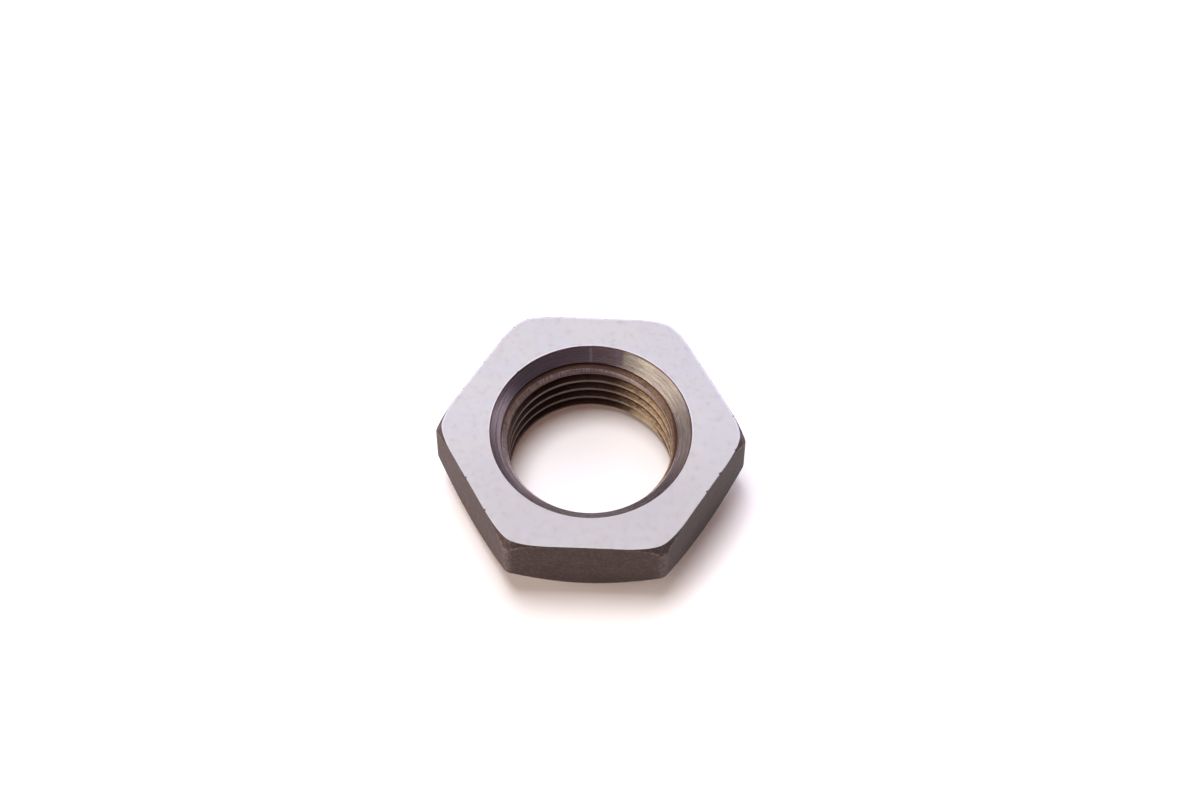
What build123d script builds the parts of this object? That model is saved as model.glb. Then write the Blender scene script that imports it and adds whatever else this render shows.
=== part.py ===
from build123d import *
import math
import os

# A thin hexagon lock nut, turned from hexagon bar in one piece. Sizes are in millimetres.
# The origin is the middle of the base, and +Z runs up the bore to the ground face.
# One pair of flats faces -Y and +Y, so two of the corners lie on the X axis.

# Hexagon bar
flat_count = 6
across_flats = 27.0
corner_radius = 0.8
nut_height = 9.0

# Fine metric thread. The bore is left at its minor diameter, which the crests reach
thread_diameter = 18.0
thread_pitch = 1.5
flank_angle = 60.0

# Countersinks: how much wider than the thread each mouth of the bore is
ground_mouth_allowance = 2.1
base_mouth_allowance = 0.2
countersink_angle = 90.0

# Steeper bevel below the countersink of the ground face, where the first turn is cut back
bevel_inset = 0.2
bevel_angle = 60.0

# Corners turned down at the ground face, from a round edge that lies outside the flats
ground_edge_reach = 1.3
ground_chamfer_angle = 64.0

# Corners turned down at the base, from the narrow ring that the nut stands on
base_ring_width = 1.8
base_chamfer_angle = 38.0

# How far past the bar's sharp corners the turning cuts start
turning_clearance = 0.5

# Sizes that follow from the ones above
sharp_thread_height = thread_pitch / 2 / math.tan(math.radians(flank_angle / 2))
major_radius = thread_diameter / 2
minor_radius = major_radius - 5 / 8 * sharp_thread_height
ground_mouth_radius = (thread_diameter + ground_mouth_allowance) / 2
base_mouth_radius = (thread_diameter + base_mouth_allowance) / 2
ground_edge_radius = across_flats / 2 + ground_edge_reach
base_ring_radius = base_mouth_radius + base_ring_width
sharp_corner_radius = across_flats / 2 / math.cos(math.pi / flat_count)
turning_radius = sharp_corner_radius + turning_clearance

countersink_run = math.tan(math.radians(countersink_angle / 2))
base_countersink_top = (base_mouth_radius - minor_radius) / countersink_run
bevel_mouth_radius = major_radius - bevel_inset
bevel_top = nut_height - (ground_mouth_radius - bevel_mouth_radius) / countersink_run
bevel_foot = bevel_top - (bevel_mouth_radius - minor_radius) * math.tan(math.radians(bevel_angle))

with BuildPart() as lock_nut:
    with BuildSketch() as bar_section:
        RegularPolygon(across_flats / 2, flat_count, major_radius=False)
        fillet(bar_section.vertices(), corner_radius)
    extrude(amount=nut_height)

    # The corners are turned down to a cone at each end, from a round edge on that end's face
    for face_height, edge_radius, angle, into_nut in (
        (nut_height, ground_edge_radius, ground_chamfer_angle, -1),
        (0, base_ring_radius, base_chamfer_angle, 1),
    ):
        depth = (turning_radius - edge_radius) * math.tan(math.radians(angle))
        with BuildSketch(Plane.XZ):
            with BuildLine():
                Polyline(
                    (edge_radius, face_height),
                    (turning_radius, face_height),
                    (turning_radius, face_height + into_nut * depth),
                    close=True,
                )
            make_face()
        revolve(axis=Axis.Z, mode=Mode.SUBTRACT)

    # The bore goes right through, with a countersink at each mouth and the steeper bevel inside the upper one
    with BuildSketch(Plane.XZ):
        with BuildLine():
            Polyline(
                (0, 0),
                (base_mouth_radius, 0),
                (minor_radius, base_countersink_top),
                (minor_radius, bevel_foot),
                (bevel_mouth_radius, bevel_top),
                (ground_mouth_radius, nut_height),
                (0, nut_height),
                close=True,
            )
        make_face()
    revolve(axis=Axis.Z, mode=Mode.SUBTRACT)

lock_nut.part.label = "lock_nut"
os.makedirs("parts", exist_ok=True)
export_step(lock_nut.part, "parts/lock_nut.step")

print(f"minor radius {minor_radius:.4f}, wall from {base_countersink_top:.3f} to {bevel_foot:.3f}")
print(f"volume {lock_nut.part.volume:.1f} cubic millimetres, {lock_nut.part.bounding_box()}")
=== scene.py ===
"""A thin hexagon lock nut with blackened flats, a ground face and a helical thread cut right through it.

The real nut is one piece of steel, so it is one closed mesh here. NutBlank lays rings of points round the
axis for every turned and ground surface and for the flats of the bar. ThreadCutter then cuts the thread in
the bore by its rule, with the Geometry Nodes tree of ThreadGraph, and gives each surface its finish. Sizes
are in millimetres until a mesh is made, and meshes are in metres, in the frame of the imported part: the base
stands on Z = 0, with +Z up the bore.
"""

import logging
import math
from abc import ABC, abstractmethod
from dataclasses import dataclass, field
from enum import Enum, IntEnum

import bmesh
import bpy
import numpy as np
from mathutils import Matrix, Vector, noise


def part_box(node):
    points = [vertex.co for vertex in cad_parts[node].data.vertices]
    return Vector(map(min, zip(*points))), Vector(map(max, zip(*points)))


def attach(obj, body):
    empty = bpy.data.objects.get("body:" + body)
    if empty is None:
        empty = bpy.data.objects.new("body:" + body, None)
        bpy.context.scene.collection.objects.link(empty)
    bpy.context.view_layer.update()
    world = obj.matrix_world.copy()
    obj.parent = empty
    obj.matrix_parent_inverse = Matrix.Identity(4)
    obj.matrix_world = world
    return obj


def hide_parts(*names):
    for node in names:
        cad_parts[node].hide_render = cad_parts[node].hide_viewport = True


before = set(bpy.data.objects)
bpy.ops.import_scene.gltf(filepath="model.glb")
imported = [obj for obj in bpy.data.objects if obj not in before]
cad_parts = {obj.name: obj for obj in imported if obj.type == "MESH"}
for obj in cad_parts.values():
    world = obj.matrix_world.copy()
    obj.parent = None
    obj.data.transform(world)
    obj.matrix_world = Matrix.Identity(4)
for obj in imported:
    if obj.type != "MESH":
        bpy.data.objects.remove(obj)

CAD_NODE = "lock_nut"
MM = 0.001
FULL_TURN = 2 * math.pi
QUARTER_TURN = math.pi / 2
OUT_OF_BORE = -1.0

Colour = tuple[float, float, float, float]
Coat = tuple["Signal", Colour]
Band = tuple[float, float]
Lengths = np.ndarray | float
Place = tuple[Lengths, Lengths]
Socket = bpy.types.NodeSocket
Inputs = dict[str | int, object]

log = logging.getLogger("lock_nut")


class Zone(IntEnum):
    """The surfaces of the nut, in the order of their material slots."""

    GROUND_FACE = 0
    COUNTERSINK = 1
    BEVEL = 2
    THREAD_FLANK = 3
    THREAD_CREST = 4
    FLAT = 5
    TURNED_CORNER = 6
    BASE = 7


class ToothPart(IntEnum):
    """The part of the thread form that a ring of points in the bore lies on."""

    LOWER_FLANK = -1
    CREST = 0
    UPPER_FLANK = 1


class Trait(str, Enum):
    """The values that the mesh carries at its points and faces."""

    ANGLE = "angle"
    GROOVE = "groove"
    TOOTH = "tooth"
    ALONG = "along"
    ZONE = "zone"
    WEAR = "wear"
    RIM = "rim"
    CHIP = "chip"
    LIP = "lip"
    DEPTH = "depth"


class MixSocket(IntEnum):
    """The sockets of a Mix node that colours use, by their places."""

    AMOUNT = 0
    RESULT = 2
    FIRST = 6
    SECOND = 7


class CompareSocket(IntEnum):
    """The inputs of a Compare node that whole numbers use, by their places."""

    FIRST = 2
    SECOND = 3


def display(red: float, green: float, blue: float) -> Colour:
    """Turns a colour as a screen shows it into the linear colour that a shader takes.

    Args:
        red: Red as a screen shows it, from 0 to 255.
        green: Green, likewise.
        blue: Blue, likewise.

    Returns:
        The linear colour, with an alpha of 1.
    """
    linear = []
    for level in (red / 255, green / 255, blue / 255):
        linear.append(level / 12.92 if level <= 0.04045 else ((level + 0.055) / 1.055) ** 2.4)
    return (*linear, 1.0)


def soften(first: np.ndarray, second: np.ndarray, blend: float) -> np.ndarray:
    """Takes the smaller of two lengths, rounded off where they are nearly the same.

    Args:
        first: The one length, for each column of points.
        second: The other length.
        blend: How far apart the lengths are where the rounding starts.

    Returns:
        The rounded smaller length.
    """
    overlap = np.maximum(blend - np.abs(first - second), 0.0) / blend
    return np.minimum(first, second) - overlap**2 * blend / 4


def towards(azimuth: float, elevation: float) -> Vector:
    """Gives the direction from the nut to a place round it.

    Args:
        azimuth: How far round the place is, in degrees from +X.
        elevation: How high it is, in degrees.

    Returns:
        The direction, of length 1.
    """
    turn, rise = math.radians(azimuth), math.radians(elevation)
    return Vector((math.cos(turn) * math.cos(rise), math.sin(turn) * math.cos(rise), math.sin(rise)))


def put_in_scene(name: str, data: bpy.types.ID) -> bpy.types.Object:
    """Adds an object to the scene.

    Args:
        name: The object's name.
        data: Its mesh, light or camera.

    Returns:
        The object, at the origin.
    """
    made = bpy.data.objects.new(name, data)
    bpy.context.scene.collection.objects.link(made)
    return made


class Signal:
    """A value that runs through a node tree. Arithmetic with it adds Math nodes."""

    def __init__(self, graph: "Graph", socket: Socket) -> None:
        """Holds an output socket.

        Args:
            graph: The graph that the socket belongs to.
            socket: The output that gives the value.
        """
        self.graph = graph
        self.socket = socket

    def __add__(self, other: "Signal | float") -> "Signal":
        """Adds another value."""
        return self.graph.math("ADD", self, other)

    def __radd__(self, other: float) -> "Signal":
        """Is added to a number."""
        return self.graph.math("ADD", other, self)

    def __sub__(self, other: "Signal | float") -> "Signal":
        """Takes another value away."""
        return self.graph.math("SUBTRACT", self, other)

    def __rsub__(self, other: float) -> "Signal":
        """Is taken away from a number."""
        return self.graph.math("SUBTRACT", other, self)

    def __mul__(self, other: "Signal | float") -> "Signal":
        """Multiplies by another value."""
        return self.graph.math("MULTIPLY", self, other)

    def __rmul__(self, other: float) -> "Signal":
        """Multiplies a number."""
        return self.graph.math("MULTIPLY", other, self)

    def __truediv__(self, other: "Signal | float") -> "Signal":
        """Divides by another value."""
        return self.graph.math("DIVIDE", self, other)

    def above(self, other: "Signal | float") -> "Signal":
        """Gives the larger of this value and another."""
        return self.graph.math("MAXIMUM", self, other)

    def below(self, other: "Signal | float") -> "Signal":
        """Gives the smaller of this value and another."""
        return self.graph.math("MINIMUM", self, other)

    def between(self, low: "Signal | float", high: "Signal | float") -> "Signal":
        """Keeps this value between two others."""
        return self.above(low).below(high)

    def distance_to(self, other: "Signal | float") -> "Signal":
        """Gives how far this value is from another, never below zero."""
        return self.graph.math("ABSOLUTE", self - other)


class Graph:
    """A node tree that is built one step at a time."""

    def __init__(self, tree: bpy.types.NodeTree) -> None:
        """Starts with a tree that has no nodes.

        Args:
            tree: The tree to build in.
        """
        self.tree = tree
        self.tree.nodes.clear()

    def node(self, kind: str, inputs: Inputs | None = None, **settings: object) -> bpy.types.Node:
        """Adds a node.

        Args:
            kind: The node's type.
            inputs: What its inputs take, by name or by place: a Signal, an output socket or a fixed value.
            **settings: The node's own settings.

        Returns:
            The new node.
        """
        made = self.tree.nodes.new(kind)
        for setting, value in settings.items():
            setattr(made, setting, value)
        for name, value in (inputs or {}).items():
            self.feed(made.inputs[name], value)
        return made

    def feed(self, socket: Socket, value: object) -> None:
        """Gives an input its value, by a link if the value comes from another node.

        Args:
            socket: The input.
            value: A Signal, an output socket or a fixed value.
        """
        if isinstance(value, Signal):
            self.tree.links.new(value.socket, socket)
        elif isinstance(value, Socket):
            self.tree.links.new(value, socket)
        else:
            socket.default_value = value

    def out(self, made: bpy.types.Node, name: str | int = 0) -> Signal:
        """Gives one output of a node, as a value for arithmetic."""
        return Signal(self, made.outputs[name])

    def math(self, operation: str, *values: Signal | float) -> Signal:
        """Adds a Math node.

        Args:
            operation: Blender's name for the operation.
            *values: What it works on.

        Returns:
            The result.
        """
        return self.out(self.node("ShaderNodeMath", dict(enumerate(values)), operation=operation))

    def axes(self, place: Socket) -> tuple[Signal, Signal, Signal]:
        """Splits a place into its X, Y and Z."""
        parts = self.node("ShaderNodeSeparateXYZ", {"Vector": place})
        return self.out(parts, "X"), self.out(parts, "Y"), self.out(parts, "Z")


@dataclass(frozen=True)
class LatheView:
    """Where a point of a surface is, seen from the nut's axis.

    Attributes:
        radius: Its distance from the axis, in millimetres.
        height: Its height above the base, in millimetres.
        east: The cosine of its direction from +X.
        north: The sine of that direction.
    """

    radius: Signal
    height: Signal
    east: Signal
    north: Signal


class SurfaceGraph(Graph):
    """The node tree of one finish, which reads where it is on the nut in millimetres."""

    def __init__(self, name: str) -> None:
        """Makes the material and its shader.

        Args:
            name: The material's name.
        """
        self.material = bpy.data.materials.new(name)
        self.material.use_nodes = True
        super().__init__(self.material.node_tree)
        coordinates = self.node("ShaderNodeTexCoord")
        to_millimetres = self.node(
            "ShaderNodeMapping", {"Vector": coordinates.outputs["Object"], "Scale": (1 / MM, 1 / MM, 1 / MM)}
        )
        self.place = to_millimetres.outputs["Vector"]
        self.shader = self.node("ShaderNodeBsdfPrincipled")
        self.node("ShaderNodeOutputMaterial", {"Surface": self.shader.outputs["BSDF"]})

    def trait(self, name: Trait) -> Signal:
        """Reads a value that the mesh carries."""
        read = self.node("ShaderNodeAttribute", attribute_name=name.value, attribute_type="GEOMETRY")
        return self.out(read, "Fac")

    def cloud(
        self, size: float, detail: float = 3.0, rough: float = 0.5, place: Socket | None = None
    ) -> Signal:
        """Makes a random pattern that runs from about 0 to 1.

        Args:
            size: How wide its patches are, in millimetres.
            detail: How many finer layers it has.
            rough: How strong the finer layers are.
            place: The coordinates it follows, or None for the nut's own.

        Returns:
            The pattern.
        """
        inputs = {"Vector": place or self.place, "Scale": 1 / size, "Detail": detail, "Roughness": rough}
        return self.out(self.node("ShaderNodeTexNoise", inputs), "Fac")

    def step(self, value: Signal | float, low: float, high: float) -> Signal:
        """Turns a value into a smooth step, 0 up to low and 1 from high on."""
        inputs = {"Value": value, "From Min": low, "From Max": high}
        return self.out(self.node("ShaderNodeMapRange", inputs, interpolation_type="SMOOTHSTEP"), "Result")

    def fade(self, value: Signal | float, low: float, high: float) -> Signal:
        """Turns a value into a smooth step the other way, 1 up to low and 0 from high on."""
        return 1.0 - self.step(value, low, high)

    def mix(self, amount: Signal | float, first: Signal | Colour, second: Signal | Colour) -> Signal:
        """Mixes two colours: the first where amount is 0, the second where it is 1."""
        inputs = {MixSocket.AMOUNT: amount, MixSocket.FIRST: first, MixSocket.SECOND: second}
        return self.out(self.node("ShaderNodeMix", inputs, data_type="RGBA"), MixSocket.RESULT)

    def layer(self, tone: Signal | Colour, *coats: Coat) -> Signal:
        """Lays colours over a tone, one after another.

        Args:
            tone: The tone at the bottom.
            *coats: How much each colour covers what lies under it, from 0 to 1, and the colour.

        Returns:
            The colour that is seen in the end.
        """
        for amount, colour in coats:
            tone = self.mix(amount, tone, colour)
        return tone

    def lathe(self) -> LatheView:
        """Works out where the surface is, seen from the nut's axis.

        Returns:
            Its distance from the axis, its height and its direction.
        """
        x, y, z = self.axes(self.place)
        radius = self.math("SQRT", x * x + y * y)
        return LatheView(radius, z, x / radius, y / radius)

    def marks(
        self, view: LatheView, lines: float, detail: float = 3.0, rough: float = 0.6, spokes: float = 2.0
    ) -> Signal:
        """Makes the marks that turning leaves, which change along the profile far more than round the axis.

        Args:
            view: Where the surface is.
            lines: How many marks lie on a millimetre of the profile.
            detail: How many finer layers there are.
            rough: How strong the finer layers are.
            spokes: How often a mark changes round the axis.

        Returns:
            The pattern, from about 0 to 1.
        """
        along = (view.radius + view.height) * lines
        inputs = {"X": view.east * spokes, "Y": view.north * spokes, "Z": along}
        spun = self.node("ShaderNodeCombineXYZ", inputs)
        return self.cloud(1.0, detail, rough, spun.outputs["Vector"])

    def relief(self, height: Signal, depth: float, over: Socket | None = None) -> Socket:
        """Adds a bump.

        Args:
            height: The pattern, from 0 to 1.
            depth: The height of the pattern in millimetres.
            over: The normal of a bump that this one is laid over.

        Returns:
            The bumped normal.
        """
        inputs = {"Height": height, "Distance": depth * MM}
        if over is not None:
            inputs["Normal"] = over
        return self.node("ShaderNodeBump", inputs).outputs["Normal"]

    def finish(self, **sockets: object) -> bpy.types.Material:
        """Feeds the shader.

        Args:
            **sockets: What the shader's inputs take, by their names in small letters with underscores.

        Returns:
            The finished material.
        """
        inputs = {socket.name.lower().replace(" ", "_"): socket for socket in self.shader.inputs}
        for name, value in sockets.items():
            self.feed(inputs[name], value)
        return self.material


@dataclass(frozen=True)
class Finish(ABC):
    """How one kind of surface looks.

    Attributes:
        name: The material's name.
    """

    name: str

    @abstractmethod
    def make(self) -> bpy.types.Material:
        """Makes the material.

        Returns:
            The material.
        """


@dataclass(frozen=True)
class GroundSteel(Finish):
    """Bright steel ground flat, faintly clouded, dark where chipped, with painted shade towards -Y and a
    painted highlight on its burnished +Y rim.

    Attributes:
        cool: The bluish tone of the steel.
        warm: The brownish tone of the steel.
        dusty_and_shade: The duller tone of its faint specks, and the painted shade on the side nearest to -Y.
        rim: The pale tone along its edges on the +Y side, partly burnish and partly a painted highlight.
        chip: The colour in the chips.
        grain_depth: How deep the grain is, in millimetres.
    """

    cool: Colour = display(149, 148, 149)
    warm: Colour = display(152, 149, 147)
    dusty_and_shade: Colour = display(136, 132, 132)
    rim: Colour = display(186, 180, 192)
    chip: Colour = display(66, 48, 50)
    grain_depth: float = 0.0012

    def make(self) -> bpy.types.Material:
        """Makes the material.

        Returns:
            The material.
        """
        graph = SurfaceGraph(self.name)
        north = graph.lathe().north
        mottle = graph.cloud(0.7, 5.0, 0.65)
        patches = graph.step(graph.cloud(5.5), 0.36, 0.64)
        specks = graph.step(mottle, 0.5, 0.75) * 0.5
        # Painted shade: the face is darker towards -Y, the side that takes less light.
        painted_front_shade = graph.fade(north, -0.9, 0.2) * 0.55
        # Painted highlight: the rim is burnished and painted pale only on the +Y side, where it reflects the
        # light.
        burnish_and_highlight = graph.step(graph.trait(Trait.RIM), 0.25, 0.9) * graph.step(north, -0.3, 0.3) * 0.6
        chips = graph.step(graph.trait(Trait.CHIP) * (0.4 + graph.cloud(0.25, 2.0)), 0.32, 0.5)
        tone = graph.layer(
            self.cool,
            (patches, self.warm),
            (specks, self.dusty_and_shade),
            (painted_front_shade, self.dusty_and_shade),
            (burnish_and_highlight, self.rim),
            (chips, self.chip),
        )
        grain = graph.relief(graph.cloud(0.12, 4.0, 0.6), self.grain_depth)
        return graph.finish(base_color=tone, metallic=0.75, roughness=0.44 + mottle * 0.14, normal=grain)


@dataclass(frozen=True)
class TurnedSteel(Finish):
    """Steel turned on a lathe and oiled: fine rings and dull patches, painted highlights on the +X side and
    lower edge, and painted shade.

    Attributes:
        lit_side_tone: The painted tone of the lit patches on the +X side, where the light is reflected.
        dull: The tone between them.
        blue: The bluish tone at the +Y side.
        stain: The brown of the oil and rust stains.
        dark: The tone between the rings, and the painted shade on its far side, its outer part and towards
            -Y.
        shade: The painted shade of the side nearest to -Y.
        lip: The pale tone of its sharp lower edge, partly wear and partly a painted highlight on the far
            side, and of the scratch across it.
        rust: The line where it meets the ground face.
        outer_part: The radii where the painted shade of its outer part starts, in millimetres.
        scratch_place: Where the scratch runs, by the cosine of its direction from +X.
        ring_depth: How deep the rings are, in millimetres.
        streak_depth: How deep the broader streaks are, in millimetres.
    """

    lit_side_tone: Colour = display(141, 137, 125)
    dull: Colour = display(192, 174, 181)
    blue: Colour = display(124, 108, 119)
    stain: Colour = display(134, 104, 96)
    dark: Colour = display(86, 74, 80)
    shade: Colour = display(46, 36, 42)
    lip: Colour = display(206, 202, 212)
    rust: Colour = display(88, 60, 48)
    outer_part: Band = (9.1, 9.8)
    scratch_place: float = -0.0401
    ring_depth: float = 0.012
    streak_depth: float = 0.006

    def make(self) -> bpy.types.Material:
        """Makes the material.

        Returns:
            The material.
        """
        graph = SurfaceGraph(self.name)
        view = graph.lathe()
        east, north = view.east, view.north
        coarse = graph.marks(view, 2.6, 2.0, 0.5, 1.2)
        fine = graph.marks(view, 7.0, 3.0, 0.75)
        rings = graph.step(coarse, 0.42, 0.58) * 0.4 + graph.step(fine, 0.38, 0.6) * 0.6
        streaks = graph.marks(view, 0.7, 4.0, 0.65, 6.0)
        # Painted highlight: the +X side, where the light is reflected, takes the lit tone in streaky patches,
        # less towards -Y.
        lit = graph.step(east + (streaks - 0.5) * 0.06, 0.29, 0.33)
        lit = lit * (0.5 + graph.step(north, -0.5, 0.4) * 0.5)

        bluish = graph.step(north, 0.1, 0.65)
        stained = graph.step(coarse, 0.52, 0.66) * 0.7
        # Painted shade: the far side, between +X and +Y, is darkened where it reflects little light.
        painted_far_shade = graph.step(east, -0.25, 0.25) * graph.step(north, 0.4, 0.8) * 0.3
        lit_side_tone = lit * (0.6 + graph.step(streaks, 0.4, 0.58) * 0.4)
        # The grooves between the rings are dark, with painted shade that makes them darker towards +Y and
        # lighter under the painted highlight.
        rings_and_shade = rings * (0.2 + graph.step(north, 0.0, 0.5) * 0.35 - lit * 0.15)
        scratch = graph.fade(east.distance_to(self.scratch_place), 0.004, 0.022) * graph.step(north, 0.5, 0.9)
        # Painted highlight: the worn lower edge is painted as a bright line on the far side, where it catches
        # the light.
        lip_wear_and_glint = graph.step(graph.trait(Trait.LIP) + fine * 0.5, 1.2, 1.36)
        lip_wear_and_glint = lip_wear_and_glint * graph.fade(east, 0.1, 0.4) * graph.step(north, 0.2, 0.6)
        tone = graph.layer(
            self.dull,
            (bluish, self.blue),
            (stained, self.stain),
            (painted_far_shade, self.dark),
            (lit_side_tone, self.lit_side_tone),
            (rings_and_shade, self.dark),
            *self.painted_shade_coats(graph, view),
            (scratch * 0.18, self.lip),
            (lip_wear_and_glint * 0.6, self.lip),
            (graph.trait(Trait.RIM), self.rust),
        )
        return graph.finish(
            base_color=tone,
            metallic=0.7 - lip_wear_and_glint * 0.5,
            roughness=0.24 + rings * 0.14,
            anisotropic=0.5,
            tangent=graph.node("ShaderNodeTangent", direction_type="RADIAL", axis="Z").outputs["Tangent"],
            normal=graph.relief(rings, self.ring_depth, graph.relief(streaks, self.streak_depth)),
        )

    def painted_shade_coats(self, graph: SurfaceGraph, view: LatheView) -> tuple[Coat, ...]:
        """Lists the painted shade that darkens the countersink towards its mouth and towards -Y.

        Args:
            graph: The node tree of the finish.
            view: Where the surface is.

        Returns:
            The coats, from the lowest to the highest.
        """
        east, north = view.east, view.north
        outer = graph.step(view.radius, *self.outer_part) * graph.fade(north, -0.3, 0.3)
        near = graph.fade(north, -0.7, -0.15) * graph.step(east, -1.4, 0.2)
        nearest = graph.fade(north - east * 0.12, -0.98, -0.65)
        return (
            (outer * graph.fade(east, 0.4, 1.0) * 0.75, self.dark),
            (near, self.dark),
            (nearest, self.shade),
        )


@dataclass(frozen=True)
class BevelSteel(Finish):
    """The steep bevel at the top of the thread, rubbed bright, with short ticks across it.

    Attributes:
        rubbed: The tone of the bright ticks.
        dull: The tone between them.
        brown: The tone of its lower part, next to the first turn.
        brown_part: The heights where that part ends, in millimetres.
        ring_depth: How deep the turned rings are, in millimetres.
    """

    rubbed: Colour = display(226, 212, 214)
    dull: Colour = display(178, 162, 162)
    brown: Colour = display(122, 100, 96)
    brown_part: Band = (6.95, 7.35)
    ring_depth: float = 0.006

    def make(self) -> bpy.types.Material:
        """Makes the material.

        Returns:
            The material.
        """
        graph = SurfaceGraph(self.name)
        view = graph.lathe()
        ticks = graph.marks(view, 0.8, 2.0, 0.6, 70.0)
        rings = graph.marks(view, 5.0, 3.0, 0.6)
        rubbed = graph.step(ticks * 0.6 + rings * 0.4, 0.4, 0.6)
        browned = graph.fade(view.height + rings * 0.3, *self.brown_part) * 0.6
        return graph.finish(
            base_color=graph.layer(self.dull, (rubbed, self.rubbed), (browned, self.brown)),
            metallic=1.0,
            roughness=0.3 + ticks * 0.15,
            normal=graph.relief(rings, self.ring_depth),
        )


@dataclass(frozen=True)
class ThreadSteel(Finish):
    """The cut thread: oiled steel with painted shade deep in the roots, rubbed and painted lighter towards
    the crests.

    Attributes:
        root: The painted shade deep in the groove, and on the top turn's shaded side.
        flank: The tone of the flanks.
        golden: Their tone where the light catches them, at the +X side.
        crest: The tone by the crest, rubbed and painted lighter where the crest edge catches the light.
        grime: The colour of the dried oil.
        painted_glint: The bright tone painted on the last turn by the base, at one place, as a glint.
        run_out: The heights over which the groove shallows into the countersink, in millimetres.
        shaded_top_turn: The heights where the painted shade on the top turn starts, in millimetres.
        last_turn: The heights where the painted glint ends, in millimetres.
        streak_depth: How deep the marks of the cut are, in millimetres.
        grain_depth: How deep the grain is, in millimetres.
    """

    root: Colour = display(64, 41, 34)
    flank: Colour = display(98, 68, 58)
    golden: Colour = display(216, 184, 146)
    crest: Colour = display(98, 73, 64)
    grime: Colour = display(60, 39, 32)
    painted_glint: Colour = display(246, 226, 186)
    run_out: Band = (6.4, 7.4)
    shaded_top_turn: Band = (6.5, 6.8)
    last_turn: Band = (1.0, 1.6)
    streak_depth: float = 0.008
    grain_depth: float = 0.006

    def make(self) -> bpy.types.Material:
        """Makes the material.

        Returns:
            The material.
        """
        graph = SurfaceGraph(self.name)
        view = graph.lathe()
        east = view.east
        streaks = graph.marks(view, 7.0, 4.0, 0.7, 3.0)
        dashes = graph.marks(view, 8.0, 2.0, 0.7, 22.0)
        grains = graph.cloud(0.16, 3.0, 0.7)
        depth = graph.trait(Trait.DEPTH) - graph.step(view.height, *self.run_out) * 0.5
        top = graph.step(view.height, *self.shaded_top_turn)
        # Painted highlight: the flanks on the +X side take the golden tone where the light falls, down to
        # where the crest above shades them.
        lit = graph.step(east, 0.2, 0.62) * graph.fade(depth / view.north.above(0.2), 0.42, 0.62)
        lit = lit * (1.0 - top * 0.6) * (0.35 + graph.step(dashes, 0.4, 0.58) * 0.65)
        # Painted shade on the top turn's +X side.
        shaded = top * graph.step(east, 0.2, 0.7) * 0.3
        stains = graph.step(graph.cloud(0.9, 4.0), 0.5, 0.7) * 0.4
        specks = graph.step(grains, 0.5, 0.68) * 0.35
        # Painted highlight: a bright glint on the last turn by the base, where it catches the light.
        painted_glint = graph.step(east, 0.4, 0.55) * graph.fade(east, 0.66, 0.85)
        painted_glint = painted_glint * graph.fade(view.height, *self.last_turn) * 0.8
        # Painted light and shade in the groove: lighter by the crest and dark deep in the roots.
        tone = graph.layer(
            self.flank,
            (graph.fade(depth, 0.0, 0.2), self.crest),
            (graph.step(depth, 0.15, 0.6), self.root),
            (lit, self.golden),
            (shaded, self.root),
            (stains, self.grime),
            (specks, self.grime),
            (painted_glint, self.painted_glint),
        )
        return graph.finish(
            base_color=tone,
            metallic=0.5,
            roughness=0.26 + streaks * 0.16,
            normal=graph.relief(streaks, self.streak_depth, graph.relief(grains, self.grain_depth)),
        )


@dataclass(frozen=True)
class BlackOxide(Finish):
    """Blackened steel with a fine grain, worn to grey at its edges, with painted shade low on the +X side.

    Attributes:
        coat: The brown-black of the coating.
        faded: The lighter tone of its rubbed patches.
        bare: The grey of the worn edges.
        pore_and_shade: The dark of the pores and the chips, and the painted shade on the lower part on the +X
            side.
        low_shade_part: The heights where that painted shade ends, in millimetres.
        grain_depth: How deep the grain is, in millimetres.
    """

    coat: Colour = display(54, 34, 27)
    faded: Colour = display(77, 54, 46)
    bare: Colour = display(114, 98, 93)
    pore_and_shade: Colour = display(28, 17, 14)
    low_shade_part: Band = (3.0, 5.6)
    grain_depth: float = 0.016

    def make(self) -> bpy.types.Material:
        """Makes the material.

        Returns:
            The material.
        """
        graph = SurfaceGraph(self.name)
        view = graph.lathe()
        fine = graph.cloud(0.17, 5.0, 0.75)
        coarse = graph.cloud(0.42, 3.0, 0.6)
        patches = graph.step(graph.cloud(1.9, 4.0, 0.55), 0.4, 0.7) * 0.4
        rubbed = graph.step(fine * 0.6 + coarse * 0.4, 0.5, 0.6) * 0.85
        pores = graph.fade(fine * 0.7 + coarse * 0.3, 0.38, 0.5) * 0.85
        # Painted shade: the lower part is darker towards +X, where less light reaches it.
        painted_low_shade = graph.fade(view.height + coarse, *self.low_shade_part) * graph.step(view.east, -0.6, 0.9) * 0.7
        worn = graph.trait(Trait.WEAR) * graph.step(graph.cloud(0.3, 4.0, 0.7), 0.38, 0.6)
        chips = graph.step(graph.trait(Trait.CHIP), 0.3, 0.9)
        tone = graph.layer(
            self.coat,
            (patches, self.faded),
            (rubbed, self.faded),
            (pores, self.pore_and_shade),
            (painted_low_shade, self.pore_and_shade),
            (worn, self.bare),
            (chips, self.pore_and_shade),
        )
        return graph.finish(
            base_color=tone,
            metallic=0.0,
            specular_ior_level=0.3,
            roughness=0.6 - worn * 0.15,
            normal=graph.relief(fine, self.grain_depth),
        )


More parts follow.
